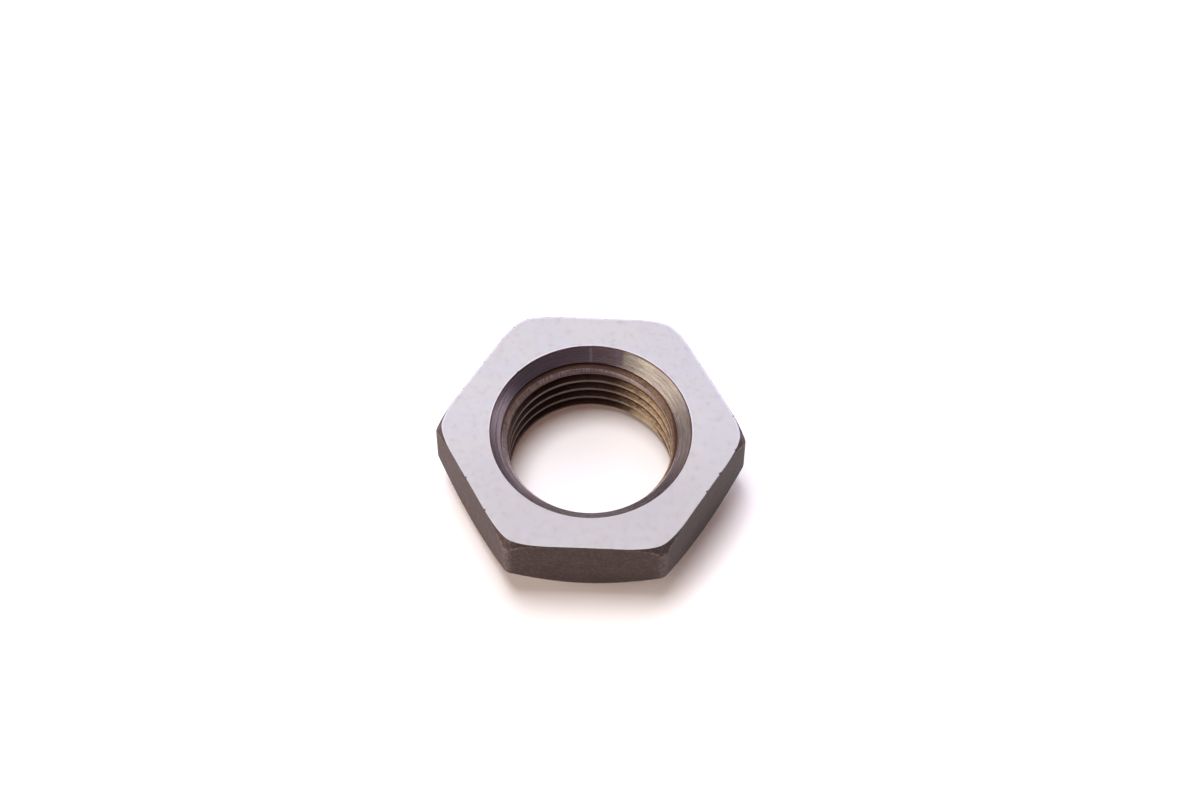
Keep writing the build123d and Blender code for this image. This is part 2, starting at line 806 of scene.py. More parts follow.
@dataclass(frozen=True)
class HexagonBar:
    """The hexagon bar that the nut is cut from.

    Attributes:
        across_flats: From one flat to the opposite one.
        corner_radius: The rounding of its six corners.
        sides: How many flats it has.
    """

    across_flats: float
    corner_radius: float = 0.8
    sides: int = 6

    def off_corner(self, angle: np.ndarray) -> np.ndarray:
        """Works out how far each direction turns away from the nearest corner.

        Args:
            angle: Directions from the axis, in radians. One corner points along +X.

        Returns:
            The angle from the nearest corner, in radians, below zero on one side of it.
        """
        share = FULL_TURN / self.sides
        return (angle + share / 2) % share - share / 2

    def reach(self, angle: np.ndarray) -> np.ndarray:
        """Works out how far the bar's outside is from the axis.

        Args:
            angle: Directions from the axis, in radians.

        Returns:
            The distance in each direction.
        """
        turned = self.off_corner(angle)
        rounding = self.corner_radius
        half = math.pi / self.sides
        flat = self.across_flats / 2 / np.cos(half - np.abs(turned))
        centre = (self.across_flats / 2 - rounding) / math.cos(half)
        inside = np.maximum(rounding**2 - (centre * np.sin(turned)) ** 2, 0.0)
        rounded = centre * np.cos(turned) + np.sqrt(inside)
        tangent = math.atan2(rounding * math.sin(half), centre + rounding * math.cos(half))
        return np.where(np.abs(turned) < tangent, rounded, flat)


@dataclass(frozen=True)
class Cone:
    """A turned cone at one end of the nut.

    Attributes:
        edge_radius: The radius of its round edge on the end face.
        slope: The angle between the cone and the end face, in radians.
    """

    edge_radius: float
    slope: float


@dataclass(frozen=True)
class Knock:
    """A small knock or chip in an edge of the ground face.

    Attributes:
        turn: Its direction from the axis, in degrees from +X.
        depth: How far it goes in.
        width: How wide it is along the edge, where it is a third as deep as its middle.
        full_share: How much of its width is as deep as its middle.
    """

    turn: float
    depth: float
    width: float
    full_share: float = 0.3

    def share(self, angle: np.ndarray, radius: Lengths) -> np.ndarray:
        """Works out how much of the knock lies in each direction.

        Args:
            angle: Directions from the axis, in radians.
            radius: How far the edge is from the axis there.

        Returns:
            1 in the middle of the knock, falling to 0 beyond it.
        """
        apart = (angle - math.radians(self.turn) + math.pi) % FULL_TURN - math.pi
        return np.clip(1 + self.full_share - np.abs(apart) * radius / (self.width / 2), 0.0, 1.0)


@dataclass(frozen=True)
class Thread:
    """A metric internal thread, right-handed.

    Attributes:
        major_diameter: Across the roots of its grooves.
        pitch: From one groove to the next.
        half_flank: Half the angle between its flanks, in radians.
        root_share: How much of the pitch the flat at a root takes.
        crest_share: How much of the pitch the flat on a crest takes.
        start: The height of a groove's centre where it crosses +Y.
    """

    major_diameter: float = 18.0
    pitch: float = 1.5
    half_flank: float = math.radians(30)
    root_share: float = 1 / 8
    crest_share: float = 1 / 4
    start: float = 0.1

    @property
    def major_radius(self) -> float:
        """Gives the radius of the grooves' roots."""
        return self.major_diameter / 2

    @property
    def flank_rise(self) -> float:
        """Gives how far a flank reaches along the axis."""
        return self.pitch * (1 - self.root_share - self.crest_share) / 2

    @property
    def minor_radius(self) -> float:
        """Gives the radius of the crests."""
        return self.major_radius - self.flank_rise / math.tan(self.half_flank)

    @property
    def half_groove(self) -> float:
        """Gives half the width of a groove at its mouth."""
        return self.pitch * self.root_share / 2 + self.flank_rise


@dataclass(frozen=True)
class NutShape:
    """The sizes of the whole nut.

    Attributes:
        bar: The hexagon bar.
        thread: The thread in the bore.
        height: From the base to the ground face.
        ground_mouth: The radius of the countersink in the ground face.
        base_mouth: The radius of the countersink in the base.
        bevel_inset: How far inside the major radius the steep bevel under the countersink starts.
        bevel_slope: The angle between that bevel and the ground face, in radians.
        ground_cone: The cone that takes off the corners at the ground face.
        base_cone: The cone that takes off the corners at the base.
        blend: How wide the cone at the ground face runs out into the flats.
        rounding: The radius of the worn outer edges.
    """

    bar: HexagonBar
    thread: Thread
    height: float
    ground_mouth: float = 10.05
    base_mouth: float = 9.1
    bevel_inset: float = 0.2
    bevel_slope: float = math.radians(60)
    ground_cone: Cone = Cone(14.93, math.radians(64))
    base_cone: Cone = Cone(10.9, math.radians(38))
    blend: float = 1.0
    rounding: float = 0.05

    @property
    def sink_offset(self) -> float:
        """Gives what a point of the ground face's countersink has more in radius than in height."""
        return self.ground_mouth - self.height

    @property
    def thread_top(self) -> float:
        """Gives the height where the countersink is as wide as the grooves' roots."""
        return self.thread.major_radius - self.sink_offset

    @property
    def bevel_top(self) -> float:
        """Gives the height where the steep bevel meets the countersink."""
        return self.thread_top - self.bevel_inset

    @property
    def bevel_foot(self) -> float:
        """Gives the height where the steep bevel meets the bore."""
        across = self.thread.major_radius - self.bevel_inset - self.thread.minor_radius
        return self.bevel_top - across * math.tan(self.bevel_slope)


@dataclass(frozen=True)
class Ring:
    """A closed ring of points round the axis.

    Attributes:
        radius: The distance of each point from the axis.
        height: The height of each point.
        zone: The surface between this ring and the next.
        wear: How far the coating is worn away, from 0 to 1.
        rim: How near an edge of the surface the ring is, from 0 to 1.
        chip: How deep in a chip each point is, from 0 to 1.
    """

    radius: np.ndarray
    height: np.ndarray
    zone: Zone
    wear: Lengths = 0.0
    rim: Lengths = 0.0
    chip: Lengths = 0.0


@dataclass(frozen=True)
class BoreRing:
    """A ring of points in the bore, which the thread cutter puts in its place.

    Attributes:
        groove: The turn of the groove that it belongs to, counted from the base.
        part: The part of the thread form.
        along: How far along that part it is, from 0 to 1.
        zone: The surface between this ring and the next.
        lip: Whether it lies on a sharp edge.
    """

    groove: int
    part: ToothPart
    along: float
    zone: Zone
    lip: bool


class Profile:
    """The rings of the outside, laid one after another."""

    def __init__(self, columns: int, rounding: float) -> None:
        """Starts with no rings.

        Args:
            columns: How many points each ring has.
            rounding: The radius of the worn edges.
        """
        self.ones = np.ones(columns)
        self.rounding = rounding
        self.rings: list[Ring] = []

    def add(self, radius: Lengths, height: Lengths, zone: Zone, **traits: Lengths) -> None:
        """Lays one ring.

        Args:
            radius: The distance of each point from the axis, or one for all.
            height: The height of each point, or one for all.
            zone: The surface between this ring and the next.
            **traits: The ring's wear, rim and chip.
        """
        self.rings.append(Ring(self.ones * radius, self.ones * height, zone, **traits))

    def round_off(self, centre: Place, turns: Band, zones: list[Zone], **traits: Lengths) -> None:
        """Lays rings round a worn edge.

        Args:
            centre: The radius and height of the rounding's centre line.
            turns: The directions of the first and the last ring from that line, in radians from
                straight out towards +Z.
            zones: The surface after each ring.
            **traits: The rings' wear, rim and chip.
        """
        for turn, zone in zip(np.linspace(*turns, len(zones)), zones, strict=True):
            radius = centre[0] + self.rounding * math.cos(turn)
            self.add(radius, centre[1] + self.rounding * math.sin(turn), zone, **traits)

    def slope(
        self, ends: tuple[Place, Place], shares: tuple[float, ...], turn: float, zone: Zone, **traits: Lengths
    ) -> None:
        """Lays rings along a cone between two worn edges.

        Args:
            ends: The radius and height of the centre line of the rounding at each end.
            shares: How far along the cone each ring lies, from 0 to 1.
            turn: The direction that the cone faces, in radians from straight out towards +Z.
            zone: The surface after each ring.
            **traits: The rings' wear, rim and chip.
        """
        start, end = ends
        for share in shares:
            centre = (start[0] + (end[0] - start[0]) * share, start[1] + (end[1] - start[1]) * share)
            self.round_off(centre, (turn, turn), [zone], **traits)


@dataclass(frozen=True)
class RingPlan:
    """How far along each stretch of the profile its rings lie, from 0 to 1.

    Attributes:
        countersink: From the thread to the mouth.
        face: From the mouth to the outer edge of the ground face.
        rim_insets: How far inside that edge the face's last rings lie, in millimetres.
        turned_corner: Down a turned corner.
        flat: Down a flat.
        base_cone: Down the turned cone at the base.
        crest_lips: Whether each ring of a crest lies on a sharp edge. The rings lie evenly apart.
    """

    countersink: tuple[float, ...] = (0.0, 0.3, 0.6, 0.9)
    face: tuple[float, ...] = (0.05, 0.3, 0.6)
    rim_insets: tuple[float, ...] = (0.6, 0.3, 0.15)
    turned_corner: tuple[float, ...] = (0.3, 0.7)
    flat: tuple[float, ...] = (0.05, 0.15, 0.35, 0.6, 0.85, 0.96)
    base_cone: tuple[float, ...] = (0.33, 0.67)
    crest_lips: tuple[bool, ...] = (True, True, False, True)


@dataclass(frozen=True)
class Wear:
    """How far the coating is worn away at each place, from 0 to 1.

    Attributes:
        face_edge: Along the outer edge of the ground face.
        turned_corner: Down the middle of a turned corner.
        flat_top: Along the upper edge of a flat.
        turned_edge: How much more along the lower edge of a turned corner.
        turned_depth: How far a corner is turned down where its edge is worn most, in millimetres.
        corner: Down the corner between two flats.
        flat_foot: Along the lower edge of a flat.
        standing_ring: Round the ring that the nut stands on.
    """

    face_edge: float = 0.4
    turned_corner: float = 0.2
    flat_top: float = 0.2
    turned_edge: float = 0.65
    turned_depth: float = 0.3
    corner: float = 0.45
    flat_foot: float = 0.45
    standing_ring: float = 0.3


@dataclass(frozen=True)
class TopEdge:
    """Where the ground face ends, for each column of points.

    Attributes:
        knock: How far the edge is knocked in.
        chip: How deep in a chip each point is, from 0 to 1.
        side: The radius of the rounding's centre line below the turned corner.
        shoulder: The radius of the rounding's centre line at the ground face.
        foot: The height where the turned corner ends on the flats.
    """

    knock: np.ndarray
    chip: np.ndarray
    side: np.ndarray
    shoulder: np.ndarray
    foot: np.ndarray


@dataclass
class NutBlank:
    """The nut before its thread is cut: a closed mesh of rings round the axis.

    Attributes:
        shape: The sizes of the nut.
        knocks: The knocks and chips in the outer edge of the ground face.
        mouth_knock: The knock in the mouth of the countersink.
        plan: Where the rings lie.
        wear: How far the coating is worn away.
        columns: How many points each ring has.
        gathering: How much closer together the points are by the corners, from 0 to 1.
        flank_steps: How many faces each flank of the thread has from crest to root.
        grooves: How many turns the groove takes, with the run-outs at both ends.
        waviness: How uneven the edge of the ground face is.
        knock_fall: The power by which a knock fades down a flat.
        lip: How much the mouth of the countersink is rounded.
        rust_line: How strong the line is where the countersink meets the ground face, from 0 to 1.
        rim_width: How wide the pale rim of the ground face is, burnished and painted as a highlight on the +Y
            side.
        corner_band: Half the angle that a worn corner takes, in radians.
        angle: The direction of each column of points from the axis, in radians.
        reach: How far the bar reaches from the axis at each column.
        corner: How near to a corner of the bar each column is, from 0 to 1.
    """

    shape: NutShape
    knocks: tuple[Knock, ...]
    mouth_knock: Knock = Knock(139.2, 0.05, 0.28)
    plan: RingPlan = RingPlan()
    wear: Wear = Wear()
    columns: int = 800
    gathering: float = 0.4
    flank_steps: int = 2
    grooves: int = 6
    waviness: float = 0.02
    knock_fall: int = 8
    lip: float = 0.04
    rust_line: float = 0.8
    rim_width: float = 0.3
    corner_band: float = math.radians(1.9)
    angle: np.ndarray = field(init=False)
    reach: np.ndarray = field(init=False)
    corner: np.ndarray = field(init=False)

    def __post_init__(self) -> None:
        """Works out the direction of each column, how far the bar reaches there and where the corners are."""
        even = np.arange(self.columns) * FULL_TURN / self.columns
        bar = self.shape.bar
        self.angle = even - self.gathering / bar.sides * np.sin(bar.sides * even)
        self.reach = bar.reach(self.angle)
        self.corner = np.exp(-((bar.off_corner(self.angle) / self.corner_band) ** 4))

    def uneven(self, size: float, seed: float) -> np.ndarray:
        """Makes a random value for each column that varies smoothly round the nut.

        Args:
            size: The length of its waves along the outside, in millimetres.
            seed: A number that gives each use its own pattern.

        Returns:
            Values from about -1 to 1.
        """
        spread = self.shape.bar.across_flats / 2 / size
        places = [Vector((math.cos(turn) * spread, math.sin(turn) * spread, seed)) for turn in self.angle]
        return np.array([noise.noise(place) for place in places])

    def top_edge(self) -> TopEdge:
        """Works out where the ground face ends.

        Returns:
            The edge, with the turned corners running out softly into the flats.
        """
        shape = self.shape
        long_waves = self.uneven(size=1.6, seed=3.1)
        short_waves = self.uneven(size=0.5, seed=8.7)
        depth = self.waviness * np.clip(0.4 + long_waves + 0.6 * short_waves, 0.0, None)
        chip = np.zeros(self.columns)
        for knock in self.knocks:
            share = knock.share(self.angle, self.reach)
            depth = np.maximum(depth, knock.depth * share)
            chip = np.maximum(chip, share)
        side = self.reach - depth - shape.rounding
        cone = shape.ground_cone
        round_edge = cone.edge_radius - depth - shape.rounding * math.tan(cone.slope / 2)
        shoulder = soften(round_edge, side, shape.blend)
        foot = shape.height - shape.rounding - (side - shoulder) * math.tan(cone.slope)
        return TopEdge(depth, chip, side, shoulder, foot)

    def lay_countersink(self, profile: Profile) -> None:
        """Lays the countersink, from the top of the thread to its mouth in the ground face.

        Args:
            profile: The rings so far.
        """
        shape = self.shape
        top = shape.height - self.lip
        mouth = self.mouth_knock.depth * self.mouth_knock.share(self.angle, shape.ground_mouth)
        for share in self.plan.countersink:
            height = shape.thread_top + share * (top - shape.thread_top)
            profile.add(height + shape.sink_offset, height, Zone.COUNTERSINK)
        profile.add(top + shape.sink_offset + mouth, top, Zone.COUNTERSINK, rim=self.rust_line)
        profile.add(shape.ground_mouth + self.lip + mouth, shape.height, Zone.GROUND_FACE, rim=1.0)

    def lay_face(self, profile: Profile, edge: TopEdge) -> None:
        """Lays the ground face, from the mouth of the countersink to its outer edge.

        Args:
            profile: The rings so far.
            edge: Where the face ends.
        """
        height = self.shape.height
        inner = self.shape.ground_mouth + self.lip
        for share in self.plan.face:
            profile.add(inner + (edge.shoulder - inner) * share, height, Zone.GROUND_FACE)
        for inset in self.plan.rim_insets:
            near = max(0.0, 1.0 - inset / self.rim_width)
            profile.add(edge.shoulder - inset, height, Zone.GROUND_FACE, rim=near)

    def lay_corner(self, profile: Profile, edge: TopEdge) -> None:
        """Lays the worn edge of the ground face and the turned corners below it.

        Args:
            profile: The rings so far.
            edge: Where the face ends.
        """
        shape = self.shape
        wear = self.wear
        out = QUARTER_TURN - shape.ground_cone.slope
        top = (edge.shoulder, shape.height - shape.rounding)
        foot = (edge.side, edge.foot)
        zones = [Zone.GROUND_FACE, Zone.TURNED_CORNER, Zone.TURNED_CORNER, Zone.TURNED_CORNER]
        profile.round_off(top, (QUARTER_TURN, out), zones, wear=wear.face_edge, rim=1.0, chip=edge.chip)
        middle = self.corner * wear.turned_corner
        profile.slope((top, foot), self.plan.turned_corner, out, Zone.TURNED_CORNER, wear=middle)
        turned = np.clip((edge.side - edge.shoulder) / wear.turned_depth, 0.0, 1.0)
        zones = [Zone.TURNED_CORNER, Zone.FLAT, Zone.FLAT]
        profile.round_off(foot, (out, 0.0), zones, wear=wear.flat_top + wear.turned_edge * turned)

    def lay_flats(self, profile: Profile, edge: TopEdge) -> None:
        """Lays the flats and the turned cone under them, down to the ring that the nut stands on.

        Args:
            profile: The rings so far.
            edge: Where the ground face ends.
        """
        base = self.shape.base_cone
        rounding = self.shape.rounding
        out = base.slope - QUARTER_TURN
        side = self.reach - rounding
        ring_edge = base.edge_radius - rounding * math.tan(base.slope / 2)
        foot = rounding + (side - ring_edge) * math.tan(base.slope)
        for share in self.plan.flat:
            radius = self.reach - edge.knock * (1 - share) ** self.knock_fall
            height = edge.foot + (foot - edge.foot) * share
            profile.add(radius, height, Zone.FLAT, wear=self.corner * self.wear.corner)
        zones = [Zone.BASE, Zone.BASE, Zone.BASE]
        top, bottom = (side, foot), (ring_edge, rounding)
        profile.round_off(top, (0.0, out), zones, wear=self.wear.flat_foot)
        profile.slope((top, bottom), self.plan.base_cone, out, Zone.BASE)
        profile.round_off(bottom, (out, -QUARTER_TURN), zones, wear=self.wear.standing_ring)

    def lay_base(self, profile: Profile) -> None:
        """Lays the flat ring at the base and the start of the small countersink in it.

        Args:
            profile: The rings so far.
        """
        shape = self.shape
        profile.add((shape.base_cone.edge_radius + shape.base_mouth) / 2, 0.0, Zone.BASE)
        profile.add(shape.base_mouth, 0.0, Zone.BASE)
        profile.add(shape.thread.major_radius, shape.base_mouth - shape.thread.major_radius, Zone.BASE)

    def outside(self) -> list[Ring]:
        """Lays the rings from the top of the thread, over the outside, to the bottom of the thread.

        Returns:
            The rings in order.
        """
        profile = Profile(self.columns, self.shape.rounding)
        edge = self.top_edge()
        self.lay_countersink(profile)
        self.lay_face(profile, edge)
        self.lay_corner(profile, edge)
        self.lay_flats(profile, edge)
        self.lay_base(profile)
        return profile.rings

    def bore(self) -> list[BoreRing]:
        """Lists the rings in the bore, from the base upwards.

        Returns:
            The rings: for each turn of the groove its lower flank, its upper flank and the crest above it.
        """
        steps = [step / self.flank_steps for step in range(self.flank_steps + 1)]
        last_crest = len(self.plan.crest_lips) - 1
        rings = []
        for groove in range(self.grooves):
            for along in steps:
                rings.append(BoreRing(groove, ToothPart.LOWER_FLANK, along, Zone.THREAD_FLANK, along == 0))
            for along in reversed(steps):
                zone = Zone.THREAD_FLANK if along else Zone.THREAD_CREST
                rings.append(BoreRing(groove, ToothPart.UPPER_FLANK, along, zone, along == 0))
            for number, lip in enumerate(self.plan.crest_lips):
                along = number / last_crest
                rings.append(BoreRing(groove, ToothPart.CREST, along, Zone.THREAD_CREST, lip))
        return rings

    def build(self, name: str) -> bpy.types.Object:
        """Makes the mesh of the blank, with what the thread cutter needs at each point.

        Args:
            name: The object's name.

        Returns:
            The object, linked to the scene.
        """
        outside = self.outside()
        bore = self.bore()
        plain = np.ones(self.columns)
        radii = [ring.radius for ring in outside] + [plain * self.shape.thread.minor_radius] * len(bore)
        heights = [ring.height for ring in outside] + [plain * self.shape.height / 2] * len(bore)
        radius = np.array(radii) * MM
        height = np.array(heights) * MM
        points = np.stack([radius * np.cos(self.angle), radius * np.sin(self.angle), height], axis=-1)

        faces, zones = self.faces(outside, bore)
        mesh = bpy.data.meshes.new(name)
        mesh.from_pydata(points.reshape(-1, 3).tolist(), [], faces)
        blank = [0.0] * len(outside)
        unused = [0.0] * len(bore)
        self.carry(mesh, Trait.ANGLE, [self.angle] * len(radii))
        self.carry(mesh, Trait.GROOVE, blank + [float(ring.groove) for ring in bore])
        self.carry(mesh, Trait.TOOTH, blank + [float(ring.part) for ring in bore])
        self.carry(mesh, Trait.ALONG, [OUT_OF_BORE] * len(outside) + [ring.along for ring in bore])
        self.carry(mesh, Trait.LIP, [1.0] + blank[1:] + [float(ring.lip) for ring in bore])
        self.carry(mesh, Trait.WEAR, [ring.wear for ring in outside] + unused)
        self.carry(mesh, Trait.RIM, [ring.rim for ring in outside] + unused)
        self.carry(mesh, Trait.CHIP, [ring.chip for ring in outside] + unused)
        mesh.attributes.new(Trait.ZONE.value, "INT", "FACE").data.foreach_set("value", zones)
        return put_in_scene(name, mesh)

    def carry(self, mesh: bpy.types.Mesh, trait: Trait, rings: list[Lengths]) -> None:
        """Stores a value at each point of the blank.

        Args:
            mesh: The blank's mesh.
            trait: The name to store it under.
            rings: One value for each ring, or one for each of its points.
        """
        values = np.concatenate([np.ones(self.columns) * ring for ring in rings])
        stored = mesh.attributes.new(trait.value, "FLOAT", "POINT")
        stored.data.foreach_set("value", values.astype(np.float32))

    def faces(self, outside: list[Ring], bore: list[BoreRing]) -> tuple[list[tuple[int, ...]], list[int]]:
        """Joins the rings into faces.

        The thread climbs one pitch in a turn, so at the end of the turn each ring of the bore meets
        the ring of the next groove.

        Args:
            outside: The rings of the outside.
            bore: The rings of the bore.

        Returns:
            The faces, each with four points, and the zone of each face.
        """
        first_bore = len(outside)
        count = first_bore + len(bore)
        ring_zones = [ring.zone for ring in outside] + [ring.zone for ring in bore]
        ring_zones[first_bore - 1] = Zone.BASE
        ring_zones[-1] = Zone.COUNTERSINK
        here = np.arange(count)
        climbed = np.where(here < first_bore, here, here + len(bore) // self.grooves)
        climbed = np.where(climbed >= count, 0, climbed)
        faces, zones = [], []
        for column in range(self.columns):
            following = (column + 1) % self.columns
            beside = here if following else climbed
            for ring in range(count):
                below = (ring + 1) % count
                faces.append(
                    (
                        ring * self.columns + column,
                        below * self.columns + column,
                        int(beside[below]) * self.columns + following,
                        int(beside[ring]) * self.columns + following,
                    )
                )
                zones.append(int(ring_zones[ring]))
        return faces, zones


class ThreadGraph(Graph):
    """The Geometry Nodes tree that cuts the thread in a blank by its rule and dresses every surface."""

    def __init__(self, sizes: dict[str, float]) -> None:
        """Opens the tree with its named inputs.

        Args:
            sizes: The names of the inputs and their values, in millimetres.
        """
        tree = bpy.data.node_groups.new("thread_cutter", "GeometryNodeTree")
        super().__init__(tree)
        for direction in ("INPUT", "OUTPUT"):
            tree.interface.new_socket("Geometry", in_out=direction, socket_type="NodeSocketGeometry")
        self.identifiers: dict[str, str] = {}
        for name in sizes:
            socket = tree.interface.new_socket(name, in_out="INPUT", socket_type="NodeSocketFloat")
            self.identifiers[name] = socket.identifier
        self.given = self.node("NodeGroupInput")
        self.size = {name: self.out(self.given, name) for name in sizes}
        self.groove_depth = self.size["Major Radius"] - self.size["Minor Radius"]
        self.angle = self.carried(Trait.ANGLE)
        self.along = self.carried(Trait.ALONG)
        self.tooth = self.carried(Trait.TOOTH)
        turns = self.carried(Trait.GROOVE) + (self.angle - QUARTER_TURN) / FULL_TURN
        self.centre = self.size["Start Height"] + self.size["Pitch"] * turns
        self.in_bore = self.test("GREATER_THAN", self.along, OUT_OF_BORE / 2)

    def carried(self, trait: Trait) -> Signal:
        """Reads a value that the blank carries."""
        read = self.node("GeometryNodeInputNamedAttribute", {"Name": trait.value}, data_type="FLOAT")
        return self.out(read, "Attribute")

    def test(self, operation: str, value: Signal, other: Signal | float) -> Socket:
        """Compares two values."""
        inputs = {0: value, 1: other}
        return self.node("FunctionNodeCompare", inputs, data_type="FLOAT", operation=operation).outputs[0]

    def both(self, first: Socket, second: Socket) -> Socket:
        """Holds where two tests both hold."""
        return self.node("FunctionNodeBooleanMath", {0: first, 1: second}, operation="AND").outputs[0]

    def choose(self, when: Socket, yes: Signal, no: Signal) -> Signal:
        """Takes one value where a test holds, and another elsewhere."""
        inputs = {"Switch": when, "True": yes, "False": no}
        return self.out(self.node("GeometryNodeSwitch", inputs, input_type="FLOAT"))

    def cones(self, height: Signal) -> dict[Zone, Signal]:
        """Works out the radius of the steep bevel and of the two countersinks.

        Args:
            height: A height in the bore.

        Returns:
            The radius of each cone at that height.
        """
        size = self.size
        return {
            Zone.BEVEL: size["Minor Radius"] + (height - size["Bevel Foot"]) / size["Bevel Steepness"],
            Zone.COUNTERSINK: height + size["Sink Offset"],
            Zone.BASE: size["Base Mouth Radius"] - height,
        }

    def wall(self, height: Signal) -> Signal:
        """Works out the bore's radius with no groove in it.

        Args:
            height: A height in the bore.

        Returns:
            The largest of the radii that the bore, the steep bevel and the two countersinks have there.
        """
        widest = self.size["Minor Radius"]
        for cone in self.cones(height).values():
            widest = widest.above(cone)
        return widest

    def flank(self, side: Signal | float, middle: Signal, share: Signal | float) -> tuple[Signal, Signal]:
        """Finds a point on a flank, between where it comes out of the wall and its root.

        Args:
            side: -1 for the groove's lower flank and 1 for its upper one.
            middle: The height of the groove's centre.
            share: How far from the wall to the root.

        Returns:
            The point's height and radius.
        """
        size = self.size
        minor = size["Minor Radius"]
        steep = size["Bevel Steepness"]
        mouth = middle + side * size["Half Groove"]
        rise = side * size["Flank Rise"]
        in_sink = (mouth + size["Sink Offset"] - minor) / (self.groove_depth + rise)
        in_bevel = (mouth - size["Bevel Foot"]) / (steep * self.groove_depth + rise)
        in_base = (size["Base Mouth Radius"] - mouth - minor) / (self.groove_depth - rise)
        hidden = in_sink.above(in_bevel).above(in_base).between(0.0, 1.0)
        depth = hidden + (1.0 - hidden) * share
        lowest = size["Base Mouth Radius"] - size["Major Radius"]
        highest = size["Major Radius"] - size["Sink Offset"]
        return (mouth - rise * depth).between(lowest, highest), minor + self.groove_depth * depth

    def crest(self) -> tuple[Signal, Signal]:
        """Finds a point on the wall between two turns of the groove.

        The wall bends at the base countersink, at the foot of the steep bevel and at its top, so a
        ring lies at each bend that the grooves leave, and one halfway up the bevel. The first third
        of the way along a crest leads to the foot of the bevel, and the rest leads up it.

        Returns:
            The point's height and radius.
        """
        size = self.size
        lower_edge, _ = self.flank(1.0, self.centre, 0.0)
        upper_edge, _ = self.flank(-1.0, self.centre + size["Pitch"], 0.0)
        meets_base = size["Base Mouth Radius"] - size["Minor Radius"]
        foot, top = size["Bevel Foot"], size["Bevel Top"]
        thirds = self.along * 3.0
        to_foot = thirds.below(1.0)
        up_bevel = ((thirds - 1.0) / 2.0).above(0.0)
        bend = meets_base + (foot - meets_base) * to_foot + (top - foot) * up_bevel
        height = bend.between(lower_edge, upper_edge)
        return height, self.wall(height)

    def cut(self) -> Socket:
        """Moves the bore's points to the thread.

        Returns:
            The nut with its thread.
        """
        on_crest = self.test("LESS_THAN", self.tooth.distance_to(float(ToothPart.CREST)), 0.5)
        flank_height, flank_radius = self.flank(self.tooth, self.centre, self.along)
        crest_height, crest_radius = self.crest()
        height = self.choose(on_crest, crest_height, flank_height)
        radius = self.choose(on_crest, crest_radius, flank_radius)
        position = {
            "X": radius * self.math("COSINE", self.angle) * MM,
            "Y": radius * self.math("SINE", self.angle) * MM,
            "Z": height * MM,
        }
        moved = {
            "Geometry": self.given.outputs["Geometry"],
            "Selection": self.in_bore,
            "Position": self.node("ShaderNodeCombineXYZ", position).outputs[0],
        }
        return self.node("GeometryNodeSetPosition", moved).outputs["Geometry"]

    def place(self) -> tuple[Signal, Signal]:
        """Gives how far each point is from the axis and how high, in millimetres."""
        x, y, z = self.axes(self.node("GeometryNodeInputPosition").outputs[0])
        return self.math("SQRT", x * x + y * y) / MM, z / MM

    def join(self, geometry: Socket) -> Socket:
        """Stores how deep in the groove each point is, and joins the points that have come together.

        Args:
            geometry: The nut with its thread.

        Returns:
            The nut as one plain closed mesh.
        """
        radius, _ = self.place()
        depth = ((radius - self.size["Minor Radius"]) / self.groove_depth).between(0.0, 1.0)
        stored = self.node(
            "GeometryNodeStoreNamedAttribute",
            {"Geometry": geometry, "Name": Trait.DEPTH.value, "Value": depth},
            data_type="FLOAT",
            domain="POINT",
        )
        near = {"Geometry": stored.outputs["Geometry"], "Distance": self.size["Weld Distance"] * MM}
        welded = self.node("GeometryNodeMergeByDistance", near)
        real = self.node("GeometryNodeRealizeInstances", {"Geometry": welded.outputs["Geometry"]})
        return real.outputs["Geometry"]

    def dress(self, geometry: Socket, faces: Socket, material: bpy.types.Material) -> Socket:
        """Gives some of the faces their material.

        Args:
            geometry: The nut so far.
            faces: Which faces take the material.
            material: The material.

        Returns:
            The nut with those faces dressed.
        """
        inputs = {"Geometry": geometry, "Selection": faces, "Material": material}
        return self.node("GeometryNodeSetMaterial", inputs).outputs["Geometry"]

    def dress_all(self, geometry: Socket, finishes: dict[Zone, bpy.types.Material]) -> Socket:
        """Gives every face its material.

        Each face takes the finish of its own zone. Where a groove has run out, the bore's faces lie on
        the bevel or in a countersink, so they take the finish of that cone instead.

        Args:
            geometry: The nut as one mesh.
            finishes: The material of each zone.

        Returns:
            The dressed nut.
        """
        carried = self.node("GeometryNodeInputNamedAttribute", {"Name": Trait.ZONE.value}, data_type="INT")
        for zone, material in finishes.items():
            inputs = {CompareSocket.FIRST: carried.outputs["Attribute"], CompareSocket.SECOND: int(zone)}
            matches = self.node("FunctionNodeCompare", inputs, data_type="INT", operation="EQUAL")
            geometry = self.dress(geometry, matches.outputs[0], material)
        radius, height = self.place()
        weld = self.size["Weld Distance"]
        off_bore = self.test("GREATER_THAN", radius, self.size["Minor Radius"] + weld)
        cut_back = self.both(off_bore, self.in_bore)
        for zone, surface in self.cones(height).items():
            on_cone = self.test("LESS_THAN", radius.distance_to(surface), weld / 2.0)
            geometry = self.dress(geometry, self.both(on_cone, cut_back), finishes[zone])
        return geometry


